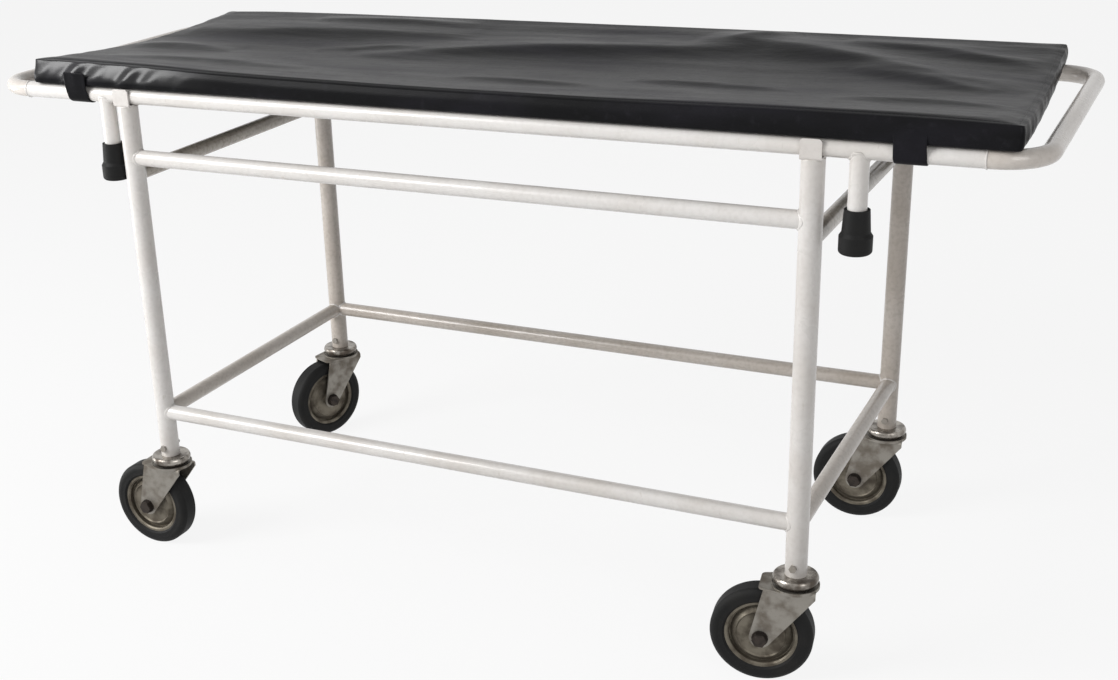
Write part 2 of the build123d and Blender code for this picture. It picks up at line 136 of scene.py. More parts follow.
# %% Signal: a socket that Python can calculate with
class Signal:
    """A value that changes over a surface, as one output socket."""

    def __init__(self, socket):
        self.socket = socket

    def maths(self, operation, first, second=0):
        """One Math node. Operations on one value leave the second at 0."""
        tree = self.socket.id_data
        node = tree.nodes.new("ShaderNodeMath")
        node.operation = operation
        for place, value in zip(node.inputs, (first, second)):
            if isinstance(value, Signal):
                tree.links.new(value.socket, place)
            else:
                place.default_value = value
        return Signal(node.outputs[0])

    def output(self, name):
        """Another output of the same node."""
        return Signal(self.socket.node.outputs[name])

    def __add__(self, other):
        return self.maths("ADD", self, other)

    def __radd__(self, other):
        return self.maths("ADD", other, self)

    def __sub__(self, other):
        return self.maths("SUBTRACT", self, other)

    def __rsub__(self, other):
        return self.maths("SUBTRACT", other, self)

    def __mul__(self, other):
        return self.maths("MULTIPLY", self, other)


# %% Finish: a material in the making
class Finish:
    """A new material, or a world, built node by node and ended by `surface` or `end`."""

    def __init__(self, owner):
        self.owner = owner
        owner.use_nodes = True
        self.tree = owner.node_tree
        self.tree.nodes.clear()
        self.place = self.node("TexCoord", {}, {}, "Object")

    def node(self, kind, settings, sockets, output=0):
        """Add one node: settings first, then the value or link of each socket."""
        made = self.tree.nodes.new("ShaderNode" + kind)
        for name, value in settings.items():
            setattr(made, name, value)
        for place, value in sockets.items():
            if isinstance(value, Signal):
                self.tree.links.new(value.socket, made.inputs[place])
            else:
                made.inputs[place].default_value = value
        return Signal(made.outputs[output]) if made.outputs else None

    def noise(self, scale, detail=2.0, place=None):
        """Noise from 0 to 1 with that many waves to the metre."""
        sockets = {"Vector": place or self.place, "Scale": scale, "Detail": detail}
        return self.node("TexNoise", {}, sockets)

    def stretched(self, scale):
        """The place on the piece, with each axis scaled by itself."""
        return self.node("Mapping", {}, {"Vector": self.place, "Scale": scale})

    def ramp(self, value, low, high):
        """0 below low, 1 above high and a smooth rise between them."""
        settings = {"interpolation_type": "SMOOTHSTEP"}
        return self.node("MapRange", settings, {0: value, 1: low, 2: high})

    def mix(self, share, first, second):
        """The first colour where share is 0, the second where it is 1."""
        return self.node("Mix", {"data_type": "RGBA"}, {0: share, 6: first, 7: second}, 2)

    def bump(self, height, distance, under=None):
        """Relief of that many metres, on top of the relief under it."""
        sockets = {"Height": height, "Distance": distance}
        if under:
            sockets["Normal"] = under
        return self.node("Bump", {}, sockets)

    def seen(self):
        """1 for light that reaches the camera or a shine, 0 for light that falls on things."""
        path = self.node("LightPath", {}, {}, "Is Camera Ray")
        shine = path.maths("MAXIMUM", path, path.output("Is Glossy Ray"))
        return shine.maths("MAXIMUM", shine, path.output("Is Transmission Ray"))

    def end(self, output, shader):
        """Wire the last shader to the output, and give back the material or the world."""
        self.node(output, {}, {"Surface": shader})
        return self.owner

    def surface(self, sockets):
        return self.end("OutputMaterial", self.node("BsdfPrincipled", {}, sockets))


def new_finish(name):
    return Finish(bpy.data.materials.new(name))


def colour(red, green, blue):
    """A colour from the 0 to 255 values that a screen shows, as the linear light it stands for."""
    def linear(value):
        share = value / 255
        return share / 12.92 if share <= 0.04045 else ((share + 0.055) / 1.055) ** 2.4

    return linear(red), linear(green), linear(blue), 1.0


# %% [markdown]
# ## White enamel
# All the tube is stove enamelled in one warm white coat. Enamel is thick and glossy, so its
# relief is the long faint ripple called orange peel. Years of use leave it a little yellow and
# grey in patches, with dull scuffs, and with grime low on the legs where mops and shoes reach.
# The three are noises of different sizes, and each one is let in by a ramp.


# %% White enamel for the trolley and the stretcher
MOTTLE = colour(128, 118, 104)
GRIME = colour(130, 119, 105)
SCUFF = colour(164, 154, 141)


def make_enamel(name, clean, aged, grime_top, wear):
    """Glossy enamel with that share of wear, and grime that ends at the height grime_top."""
    finish = new_finish(name)
    height = finish.node("SeparateXYZ", {}, {0: finish.place}, "Z")
    patches = finish.noise(7, 5)
    scuffs = finish.ramp(finish.noise(95, 6, finish.stretched((1, 1, 0.35))), 0.66, 0.74)
    grime = (1 - finish.ramp(height, grime_top * 0.35, grime_top)) * finish.noise(40, 4)
    mottle = finish.ramp(finish.noise(150, 5), 0.4, 0.72)
    tint = finish.mix(finish.ramp(patches, 0.35, 0.75) * 0.7, clean, aged)
    tint = finish.mix(mottle * wear, tint, MOTTLE)
    tint = finish.mix(grime * 0.55, tint, GRIME)
    tint = finish.mix(scuffs * (0.2 + wear), tint, SCUFF)
    peel = finish.noise(420, 1) + finish.noise(60, 2) * 1.5
    return finish.surface({
        "Base Color": tint,
        "Roughness": 0.2 + patches * 0.14 + scuffs * 0.25 + grime * 0.2,
        "Normal": finish.bump(peel, 0.00018),
        "Coat Weight": 0.35,
        "Coat Roughness": 0.08,
    })


frame_enamel = make_enamel(
    "frame_enamel", colour(224, 221, 218), colour(204, 197, 190), grime_top=0.34, wear=0.08)
# Painted shade: the far enamel is a darker, browner copy of the white, for the tubes that lie
# further from the lamps. It also has a little more wear.
shaded_far_enamel = make_enamel(
    "shaded_far_enamel", colour(198, 190, 182), colour(168, 157, 145), grime_top=0.36, wear=0.24)
# Painted shade and wear: the worn enamel is darker still, for the upper end rails in the pad's
# shade, and it has heavier real mottle and scuffs.
shaded_worn_enamel = make_enamel(
    "shaded_worn_enamel", colour(186, 178, 167), colour(160, 149, 134), grime_top=0.3, wear=0.5)
stretcher_enamel = make_enamel(
    "stretcher_enamel", colour(229, 226, 223), colour(210, 204, 197), grime_top=0.05, wear=0.06)
handle_enamel = make_enamel(
    "handle_enamel", colour(218, 211, 204), colour(194, 184, 174), grime_top=0.05, wear=0.14)
painted_bolt = make_enamel(
    "painted_bolt", colour(150, 146, 140), colour(112, 106, 99), grime_top=0.6, wear=0.4)
print("6 enamels: trolley, its far and worn tubes, stretcher, handles and bolts")

# %% [markdown]
# ## Plated steel
# Platings tell the castor's pieces apart: the bearing cup is bright, the pressed fork and rim
# are dull zinc with the cloudy bloom that zinc grows, and the axle bolt and the ball race have
# gone dark. Each is the same sum with other numbers, so one function makes them all.


# %% Plated steel
PLATE_SPECK = colour(70, 62, 54)


def make_plate(name, bright, dull, roughness, bloom_scale, relief):
    """Plated steel whose bloom turns it from the bright colour to the dull one."""
    finish = new_finish(name)
    bloom = finish.ramp(finish.noise(bloom_scale, 6), 0.38, 0.68)
    specks = finish.ramp(finish.noise(900, 3), 0.62, 0.72)
    brushed = finish.noise(160, 2, finish.stretched((1, 1, 9)))
    tint = finish.mix(specks * 0.35, finish.mix(bloom, bright, dull), PLATE_SPECK)
    return finish.surface({
        "Base Color": tint,
        "Metallic": 0.92 - bloom * 0.25,
        "Roughness": roughness + bloom * 0.16 + brushed * 0.08,
        "Normal": finish.bump(brushed + specks * -0.6, relief),
    })


cup_plate = make_plate(
    "cup_plate", colour(158, 153, 146), colour(78, 70, 62),
    roughness=0.18, bloom_scale=52, relief=0.00005)
fork_plate = make_plate(
    "fork_plate", colour(142, 138, 131), colour(106, 99, 90),
    roughness=0.42, bloom_scale=44, relief=0.00014)
rim_plate = make_plate(
    "rim_plate", colour(116, 110, 99), colour(84, 77, 67),
    roughness=0.5, bloom_scale=52, relief=0.00014)
bolt_plate = make_plate(
    "bolt_plate", colour(62, 56, 52), colour(40, 35, 32),
    roughness=0.42, bloom_scale=120, relief=0.0001)
race_plate = make_plate(
    "race_plate", colour(70, 64, 58), colour(36, 32, 29),
    roughness=0.35, bloom_scale=80, relief=0.00008)
print("5 platings: cup, fork, rim, axle bolt and ball race")

# %% [markdown]
# ## Rubber
# The tyres and the feet are black rubber: matt, a little grey where dust sits, with a fine
# mould grain. Dust is let in by noise, and never covers the whole surface.


# %% Rubber
def make_rubber(name, black, dust, dust_share, roughness):
    finish = new_finish(name)
    dusty = finish.ramp(finish.noise(38, 6), 0.45, 0.8) * dust_share
    grain = finish.noise(1500, 2) + finish.noise(240, 3)
    return finish.surface({
        "Base Color": finish.mix(dusty, black, dust),
        "Roughness": roughness + dusty * 0.3,
        "Normal": finish.bump(grain, 0.00015),
        "Specular IOR Level": 0.2,
    })


tyre_rubber = make_rubber(
    "tyre_rubber", colour(17, 17, 17), colour(60, 57, 53), dust_share=0.16, roughness=0.62)
foot_rubber = make_rubber(
    "foot_rubber", colour(16, 16, 16), colour(50, 48, 46), dust_share=0.1, roughness=0.58)
print("2 rubbers: tyre and foot")

# %% [markdown]
# ## Leathercloth
# The pad's cover is cotton cloth with a black plastic coat. The coat has a fine pressed grain,
# like leather, and a dull sheen: it is nearly black where it faces the eye and grey where it
# lies flat and mirrors the room. The grain is made of cells. Noise streaks along X lighten the
# black to a bluish grey with a rougher coat: partly dull worn places, partly painted sheen.
# A seam runs round the top edge, and the shader draws its stitches from the values `inset`,
# `upness` and `run` that the pad's points carry. Where `gather` is above 0, on the puckered near
# left side, the coat is glossier.


# %% Black leathercloth
GRAIN_SCALE = 620.0
SEAM_INSET = 0.0075
STITCH_LENGTH = 0.0052


def make_leathercloth(name):
    finish = new_finish(name)
    cells = {"Vector": finish.place, "Scale": GRAIN_SCALE}
    grain = finish.node("TexVoronoi", {"feature": "SMOOTH_F1"}, cells)
    creases = finish.noise(90, 5, finish.stretched((0.45, 1, 1)))
    # Partly painted sheen: these streaks along X turn the black a lighter bluish grey, like the
    # sheen on the top, and they are also dull worn places.
    rubbed_and_sheen = finish.ramp(finish.noise(11, 5, finish.stretched((0.4, 1, 1))), 0.42, 0.72)
    dust = finish.ramp(finish.noise(70, 6), 0.55, 0.85)
    tint = finish.mix(rubbed_and_sheen * 0.8, colour(25, 25, 26), colour(36, 35, 40))
    tint = finish.mix(dust * 0.2, tint, colour(67, 65, 72))
    relief = finish.bump(creases, 0.0005)
    relief = finish.bump(grain, 0.00022, relief)
    gather, run, inset, upness = (
        finish.node("Attribute", {"attribute_name": value}, {}, "Fac")
        for value in ("gather", "run", "inset", "upness")
    )
    off_seam = inset - SEAM_INSET
    seam = off_seam.maths("ABSOLUTE", off_seam)
    along = run * (1 / STITCH_LENGTH)
    thread = along.maths("FRACT", along)
    stitch = (1 - finish.ramp(seam, 0.0004, 0.001)) * finish.ramp(thread, 0.2, 0.32)
    stitch = stitch * finish.ramp(upness, 0.5, 0.6)
    tint = finish.mix(stitch * 0.7, tint, colour(50, 49, 51))
    relief = finish.bump(stitch - (1 - finish.ramp(seam, 0.0005, 0.003)) * 0.6, 0.0006, relief)
    return finish.surface({
        "Base Color": tint,
        "Roughness": 0.28 + rubbed_and_sheen * 0.08 + dust * 0.1,
        "Normal": relief,
        "Specular IOR Level": 0.02,
        "Coat Weight": 0.03 + gather * 0.55,
        "Coat Roughness": 0.26,
    })


leathercloth = make_leathercloth("black_leathercloth")

# %% Give each CAD node its finish
FINISH_OF = {
    "leg_bolts": painted_bolt,
    "leg_front": frame_enamel,
    # The rear legs, the rear upper rail and the other lower rails take the far enamel, whose darker
    # colour is painted shade.
    "leg_rear": shaded_far_enamel,
    "upper_rail_front": frame_enamel,
    "upper_rail_rear": shaded_far_enamel,
    # The upper end rails take the worn enamel: its dark colour is painted shade under the pad, and
    # its mottle and scuffs are wear.
    "upper_rail": shaded_worn_enamel,
    "lower_rail_front": frame_enamel,
    "lower_rail": shaded_far_enamel,
    "saddle": frame_enamel,
    "side_tube": stretcher_enamel,
    "handle": handle_enamel,
    "cross_slats": stretcher_enamel,
    "foot_tube": stretcher_enamel,
    "foot_ferrule": foot_rubber,
    "castor_stem": cup_plate,
    "castor_race": race_plate,
    "castor_fork": fork_plate,
    "castor_axle": bolt_plate,
    "castor_rim": rim_plate,
    "castor_tyre": tyre_rubber,
    "pad_loop": leathercloth,
    "pad": leathercloth,
}
for name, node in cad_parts.items():
    start = next(word for word in FINISH_OF if name.startswith(word))
    node.data.materials.clear()
    node.data.materials.append(FINISH_OF[start])
print(len(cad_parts), "CAD nodes finished")

# %% [markdown]
# ## The pad
# The pad is a foam slab in a slack cover of black leathercloth. It lies on the side tubes,
# sags onto the slats between them, and its cover has gone into long soft folds. A cloth
# simulation alone would fold it anywhere, so the folds that the photograph shows are laid in
# first, and the simulation then tightens and crumples the cover between them.
#
# The mesh is a cube cut into a fine grid of squares, which a remesh would lose: every point
# keeps its place on the slab, so that seams and stitches can follow the edges later.

# %% Cut a cube into the squares of the cover
PAD_SQUARES = (168, 62, 8)


def cut_slab(squares):
    """A cube from -1 to 1 whose edges along X, Y and Z are cut into that many squares."""
    bm = bmesh.new()
    bmesh.ops.create_cube(bm, size=2)
    for axis, count in enumerate(squares):
        along = [
            edge for edge in bm.edges
            if abs(edge.verts[0].co[axis] - edge.verts[1].co[axis]) > 1.9
        ]
        bmesh.ops.subdivide_edges(bm, edges=along, cuts=count - 1, use_grid_fill=True)
    return bm


def mesh_points(mesh):
    """The places of a mesh's points as rows of x, y, z."""
    points = np.zeros(len(mesh.vertices) * 3)
    mesh.vertices.foreach_get("co", points)
    return points.reshape(-1, 3)


def move_points(mesh, points):
    mesh.vertices.foreach_set("co", points.ravel())
    mesh.update()


pad_bm = cut_slab(PAD_SQUARES)
pad_mesh = bpy.data.meshes.new("pad_cover")
pad_bm.to_mesh(pad_mesh)
pad_bm.free()
cube = mesh_points(pad_mesh)
print("pad cover:", len(cube), "points")

# %% [markdown]
# The squares are crowded towards the edges, where the cover bends. The corners are then
# rounded twice, first in plan and then in section. Both times a square corner is turned into
# a round one by keeping each point's direction and trading its square reach for a round one.
# The slab is shaped 36 mm thick here. Its real top and underside come later. It also lies a
# little askew: its far edge is shifted to the left by PAD_SKEW of its width.

# %% Round the slab's corners and edges
PAD_SKEW = 0.045
PAD_PLAN_ROUND = 8 * MM
PAD_EDGE_ROUND = 5.5 * MM
NOMINAL_HALF = 18 * MM
pad_low, pad_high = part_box("pad")
pad_half_width = (pad_high.y - pad_low.y) / 2
pad_half_length = (pad_high.x - pad_low.x) / 2 - PAD_SKEW * pad_half_width
pad_middle_x = (pad_high.x + pad_low.x) / 2


def crowd(share, power):
    """Spread shares from -1 to 1 so that they stand closer together near both ends."""
    return np.sign(share) * (1 - (1 - np.abs(share)) ** power)


def round_corner(first, second, first_half, second_half, radius):
    """Turn the four square corners of a rectangle of points into round ones."""
    over = np.stack([np.abs(first) - first_half + radius, np.abs(second) - second_half + radius])
    inside = over.min(axis=0) <= 0
    over = np.maximum(over, 1e-9)
    reach = over.max(axis=0) / np.hypot(*over)
    reach[inside] = 1
    first = np.where(inside, first, np.sign(first) * (first_half - radius + over[0] * reach))
    second = np.where(inside, second, np.sign(second) * (second_half - radius + over[1] * reach))
    return first, second


def edge_reach(x, y):
    """How far a point of the plan lies inside its rounded outline, and the way out."""
    to_end, to_side = pad_half_length - np.abs(x), pad_half_width - np.abs(y)
    corner = (to_end < PAD_PLAN_ROUND) & (to_side < PAD_PLAN_ROUND)
    out_x = np.where(corner, PAD_PLAN_ROUND - to_end, np.where(to_end < to_side, 1, 0))
    out_y = np.where(corner, PAD_PLAN_ROUND - to_side, np.where(to_end < to_side, 0, 1))
    length = np.hypot(out_x, out_y)
    reach = np.where(corner, PAD_PLAN_ROUND - length, np.minimum(to_end, to_side))
    return reach, out_x / length * np.sign(x), out_y / length * np.sign(y)


flat_x, flat_y = round_corner(
    crowd(cube[:, 0], 1.3) * pad_half_length,
    crowd(cube[:, 1], 1.25) * pad_half_width,
    pad_half_length, pad_half_width, PAD_PLAN_ROUND,
)
inset, out_x, out_y = edge_reach(flat_x, flat_y)
flat_z = crowd(cube[:, 2], 1.3) * NOMINAL_HALF
sink = np.maximum(PAD_EDGE_ROUND - inset, 0)
rise = np.maximum(np.abs(flat_z) - NOMINAL_HALF + PAD_EDGE_ROUND, 0)
shorten = np.maximum(sink, rise) / np.maximum(np.hypot(sink, rise), 1e-9)
rounded = (sink > 0) & (rise > 0)
flat_x = np.where(rounded, flat_x - out_x * sink * (1 - shorten), flat_x)
flat_y = np.where(rounded, flat_y - out_y * sink * (1 - shorten), flat_y)
round_z = NOMINAL_HALF - PAD_EDGE_ROUND + rise * shorten
flat_z = np.where(rounded, np.sign(flat_z) * round_z, flat_z)
print(f"pad {pad_half_length * 2000:.0f} by {pad_half_width * 2000:.0f} mm")

# %% [markdown]
# The slab's top and underside are read from the photograph. Along the near edge the top runs
# high at both ends and dips between them; the far edge is lower and straight; the lowest line
# lies a little beyond the middle.

# %% The lie of the pad: its top and its underside
NEAR_EDGE_X = [-0.76, -0.68, -0.50, -0.316, -0.06, 0.25, 0.47, 0.65, 0.72, 0.80]
NEAR_EDGE_Z = [0.8455, 0.8450, 0.8425, 0.8386, 0.8360, 0.8370, 0.8415, 0.8425, 0.8420, 0.8400]
FAR_EDGE_X = [-0.77, -0.70, -0.55, 0.50, 0.78]
FAR_EDGE_Z = [0.8300, 0.8322, 0.8345, 0.8350, 0.8345]
LOW_LINE_X = [-0.77, -0.50, 0.00, 0.50, 0.80]
LOW_LINE_Z = [0.8205, 0.8185, 0.8170, 0.8180, 0.8205]
LOW_LINE_Y = 0.02
UNDERSIDE_X = [-0.77, -0.66, 0.68, 0.79]
UNDERSIDE_SAG = [0.012, 0.0225, 0.0225, 0.012]
SEAT_GAP = 0.6 * MM
SAG_MARGIN = 18 * MM


def soft(x, places, values):
    """Values read off between their places, averaged over a hand's width to hide the joins."""
    steps = np.linspace(-0.06, 0.06, 7)
    return np.mean([np.interp(x + step, places, values) for step in steps], axis=0)


def top_height(x, y):
    low = soft(x, LOW_LINE_X, LOW_LINE_Z)
    near = np.clip((LOW_LINE_Y - y) / (LOW_LINE_Y + pad_half_width), 0, 1)
    far = np.clip((y - LOW_LINE_Y) / (pad_half_width - LOW_LINE_Y), 0, 1)
    near_rise = (soft(x, NEAR_EDGE_X, NEAR_EDGE_Z) - low) * near ** 1.5
    far_rise = (soft(x, FAR_EDGE_X, FAR_EDGE_Z) - low) * far ** 2
    return low + near_rise + far_rise


def under_height(x, y):
    seat = tube_height + tube_radius + SEAT_GAP
    across = np.clip(np.abs(y) / (tube_offset - SAG_MARGIN), 0, 1)
    return seat - soft(x, UNDERSIDE_X, UNDERSIDE_SAG) * (1 - across ** 2)


# %% [markdown]
# A fold is a ridge of slack cover: steep on the side towards the camera, which looks dark, and
# gentle on the far side, which catches the light. Each row gives the crest's course in plan in
# metres, then its height and its width on the near and on the far side in millimetres.
# `FOLD_STRENGTH` scales every height, and a lower `FOLD_SHARPNESS` makes sharper crests.

# %% The folds that the photograph shows
FOLD_STRENGTH = 1.35
FOLD_SHARPNESS = 1.5
FOLDS = [
    ([(-0.75, 0.118), (-0.57, 0.122), (-0.43, 0.142), (-0.27, 0.15), (-0.16, 0.17)], 8.5, 36, 85),
    ([(-0.30, -0.02), (-0.10, 0.06), (0.04, 0.10), (0.19, 0.130), (0.33, 0.175)], 10, 38, 85),
    ([(0.22, 0.215), (0.33, 0.195), (0.43, 0.155), (0.54, 0.095), (0.64, 0.025), (0.77, -0.025)],
     10.5, 40, 65),
    ([(0.27, 0.20), (0.33, 0.26), (0.37, 0.30)], 4.5, 20, 26),
    ([(0.50, 0.062), (0.60, 0.015), (0.72, -0.062)], 4, 14, 22),
    ([(0.22, -0.092), (0.39, -0.122), (0.47, -0.130)], 4, 13, 26),
    ([(-0.74, -0.045), (-0.63, -0.03), (-0.52, -0.045)], 5, 24, 40),
    ([(-0.52, 0.225), (-0.33, 0.235), (-0.20, 0.225)], 4, 20, 36),
    ([(0.45, 0.24), (0.62, 0.20), (0.77, 0.13)], 5, 22, 40),
    ([(-0.66, -0.19), (-0.48, -0.17), (-0.28, -0.19)], 3.6, 18, 40),
    ([(0.52, -0.17), (0.66, -0.16), (0.77, -0.18)], 3.6, 16, 30),
    ([(-0.05, -0.16), (0.08, -0.175), (0.19, -0.17)], 3, 14, 26),
    ([(-0.40, 0.02), (-0.28, 0.045), (-0.19, 0.055)], 3.4, 16, 30),
]


def fold_rise(x, y, course, height, near_width, far_width):
    """How much one fold lifts each point. It dies away at both ends of its course."""
    course = np.array(course)
    lengths = np.hypot(*np.diff(course, axis=0).T)
    starts = np.concatenate([[0], np.cumsum(lengths)])
    best = np.full(len(x), 1e9)
    side, along = np.zeros(len(x)), np.zeros(len(x))
    for start, end, length, begun in zip(course[:-1], course[1:], lengths, starts):
        way = (end - start) / length
        run = (x - start[0]) * way[0] + (y - start[1]) * way[1]
        held = np.clip(run, 0, length)
        off_x, off_y = x - start[0] - way[0] * held, y - start[1] - way[1] * held
        distance = np.hypot(off_x, off_y)
        nearer = distance < best
        best = np.where(nearer, distance, best)
        side = np.where(nearer, way[0] * off_y - way[1] * off_x, side)
        along = np.where(nearer, begun + run, along)
    width = np.where(side * np.sign(course[-1][0] - course[0][0]) < 0, near_width, far_width) * MM
    share = np.clip(along / starts[-1], 0, 1)
    taper = np.sin(np.pi * share) ** 0.6
    return height * MM * np.exp(-((best / width) ** FOLD_SHARPNESS)) * taper


lie_x = flat_x + pad_middle_x - PAD_SKEW * flat_y
lifted = sum(fold_rise(lie_x, flat_y, *fold) for fold in FOLDS) * FOLD_STRENGTH
print(f"folds lift the cover by up to {lifted.max() * 1000:.1f} mm")

# %% Lay the slab down and gather its near side
EDGE_FADE = 0.05
SIDE_SWELL = 2.2 * MM
GATHER_PLACE, GATHER_REACH = -0.61, 0.17
GATHER_LEAN = 9 * MM
RIB_DEPTH = 3.2 * MM
RIB_LENGTH, SMALL_RIB_LENGTH = 0.11, 0.037
END_CRINKLE = 2.2 * MM
END_CREASE = 1.1 * MM
STREAK_HEIGHT = 1.3 * MM


def two_noises(x, y, coarse, fine, fine_share):
    """Two layers of noise over the plan, each given as its waves per metre along X and along Y
    and its height in the noise."""
    def layer(scale):
        return noise.noise((x * scale[0], y * scale[1], scale[2]))

    return layer(coarse) + fine_share * layer(fine)


upness = (flat_z / NOMINAL_HALF + 1) / 2
top, under = top_height(lie_x, flat_y), under_height(lie_x, flat_y)
fade = np.clip(inset / EDGE_FADE, 0, 1)
lie_z = under + upness * (top - under + lifted * fade * (upness > 0.5))
side_share = np.clip(1 - inset / PAD_EDGE_ROUND, 0, 1) * (1 - (2 * upness - 1) ** 2)
swell = SIDE_SWELL * side_share
gather = np.exp(-(((lie_x - GATHER_PLACE) / GATHER_REACH) ** 4)) * (flat_y < 0)
lean = np.clip((upness - 0.3) / 0.7, 0, 1) * np.exp(-inset / 0.03) * gather * GATHER_LEAN
slant = (lie_x - 0.9 * (lie_z - 0.82)) * 2 * np.pi
ribs = 1 - 2 * np.abs(np.sin(slant / RIB_LENGTH)) ** 0.8 + 0.4 * np.sin(slant / SMALL_RIB_LENGTH)
crinkle = np.array([
    two_noises(x, y, (9, 34, 0), (20, 80, 4), 0.6) for x, y in zip(flat_x, flat_y)
])
push = swell + ribs * RIB_DEPTH * gather * side_share
push = push + crinkle * END_CRINKLE * side_share * np.abs(out_x)
near_end = np.clip(1 - (pad_half_length - np.abs(flat_x)) / 0.07, 0, 1) ** 1.5 * (upness > 0.5)
end_creases = crinkle * END_CREASE * near_end
streaks = np.array([
    two_noises(x, y, (4, 26, 1), (9, 60, 2), 0.5) for x, y in zip(lie_x, flat_y)
])
lie_z += end_creases + streaks * STREAK_HEIGHT * fade * (upness > 0.5)
lie_x, lie_y = lie_x + out_x * push, flat_y + out_y * push + lean
start_points = np.stack([lie_x, lie_y, lie_z], axis=1)
move_points(pad_mesh, start_points)
print(f"sides pushed out by up to {push.max() * 1000:.1f} mm")

# %% [markdown]
# Now the cover becomes cloth. Its rest shape is a few percent wider than the slab, so it has
# slack across its width, which buckles into long soft ripples between the folds. A little
# pressure stands for the foam, and gravity is off because the foam already carries the cover.
# The underside is pinned where it rests. A point that went further than the cap is brought back
# to it.

# %% Let the cover crumple
SLACK_ACROSS = 0.03
CRUMPLE_FRAMES = 14
CRUMPLE_CAP = 4 * MM


def crumple(mesh, places, pinned):
    """Simulate the mesh as slack cloth and give the points where they end, within the cap."""
    cloth_object = bpy.data.objects.new("crumpling", mesh.copy())
    bpy.context.scene.collection.objects.link(cloth_object)
    cloth_object.shape_key_add(name="Basis")
    slack = cloth_object.shape_key_add(name="slack")
    wide = places.copy()
    wide[:, 1] *= 1 + SLACK_ACROSS
    slack.data.foreach_set("co", wide.ravel())
    group = cloth_object.vertex_groups.new(name="pinned")
    group.add([int(index) for index in np.nonzero(pinned)[0]], 1.0, "REPLACE")
    cloth = cloth_object.modifiers.new("cloth", "CLOTH")
    settings = cloth.settings
    settings.quality = 6
    settings.mass = 0.25
    settings.tension_stiffness = settings.compression_stiffness = 18
    settings.shear_stiffness = 6
    settings.bending_stiffness = 0.25
    settings.air_damping = 2
    settings.rest_shape_key = slack
    settings.vertex_group_mass = "pinned"
    settings.use_pressure = True
    settings.uniform_pressure_force = 0.6
    settings.effector_weights.gravity = 0
    cloth.collision_settings.use_collision = False
    scene = bpy.context.scene
    for step in range(1, CRUMPLE_FRAMES + 1):
        scene.frame_set(step)
    graph = bpy.context.evaluated_depsgraph_get()
    moved = mesh_points(cloth_object.evaluated_get(graph).data)
    scene.frame_set(1)
    bpy.data.objects.remove(cloth_object)
    shift = moved - places
    length = np.linalg.norm(shift, axis=1, keepdims=True)
    print(f"crumpled by up to {length.max() * 1000:.1f} mm, {length.mean() * 1000:.1f} on average")
    return places + shift * np.minimum(1, CRUMPLE_CAP / np.maximum(length, 1e-9))


rests = (upness < 0.5) & (inset > 4 * MM)
end_points = crumple(pad_mesh, start_points, rests)

# %% [markdown]
# The simulation would flatten a seam, so the seams come after it. Where the top panel is sewn to
# the side panel, the two edges are folded in together and make a low welt all the way round, and
# the bottom panel has a lower one. The rows of points on the cube's edges are already there, and
# are pushed out to be the welts.

# %% Raise the welts of the two seams
WELT_RISE = 1.5 * MM


def raise_welt(points, upward, share):
    """Push the points of the cube's top (1) or bottom (-1) edge out, and up or down."""
    on_welt = (cube[:, 2] * upward > 0.999) & (inset < 0.1 * MM)
    way = np.stack([out_x, out_y, np.full(len(out_x), upward)], axis=1)
    points[on_welt] += way[on_welt] * WELT_RISE * share
    return int(on_welt.sum())


top_welt = raise_welt(end_points, 1.0, 0.7)
low_welt = raise_welt(end_points, -1.0, 0.4)
move_points(pad_mesh, end_points)
print(top_welt, "points in the top welt and", low_welt, "in the lower one")

# %% [markdown]
# The shader draws the stitches, so it needs to know where a point lies on the slab. Four values
# are stored on the points: `inset`, how far it lies inside the slab's outline; `upness`, how high
# it stands, from 0 at the underside to 1 at the top; `run`, its place along the seam; and
# `gather`, how much the side is puckered there.

# %% Store where each point lies, then make the pad
def store_values(mesh, name, values):
    """Keep one number for each point, for the shader to read by that name."""
    attribute = mesh.attributes.new(name, "FLOAT", "POINT")
    attribute.data.foreach_set("value", values.astype(np.float32))


def add_piece(name, mesh, material, body):
    """A finished piece: smooth, in one material, riding a body of the trolley."""
    mesh.materials.append(material)
    mesh.shade_smooth()
    piece = bpy.data.objects.new(name, mesh)
    bpy.context.scene.collection.objects.link(piece)
    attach(piece, body)
    return piece


store_values(pad_mesh, "inset", inset)
store_values(pad_mesh, "upness", upness)
store_values(pad_mesh, "run", np.where(np.abs(out_x) > 0.9, lie_y, lie_x))
on_side = np.clip(1 - inset / 0.009, 0, 1) * (upness > 0.3)
store_values(pad_mesh, "gather", gather * on_side)
pad = add_piece("pad_cover", pad_mesh, leathercloth, "stretcher")
smoother = pad.modifiers.new("smoother", "SUBSURF")
smoother.levels = smoother.render_levels = 1
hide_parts("pad")
print("pad_cover stands for the node pad")

# %% [markdown]
# ## The loops that hold the pad
# Four loops of the same leathercloth keep the pad on the side tubes. Each is a flat band, sewn
# to the pad's side, that goes down round the tube and up again behind it. Such a band is easy to
# grow: one row of edges is extruded from point to point along the band's course. It is narrowed
# a little afterwards, and the Solidify modifier gives it the thickness of folded cloth.

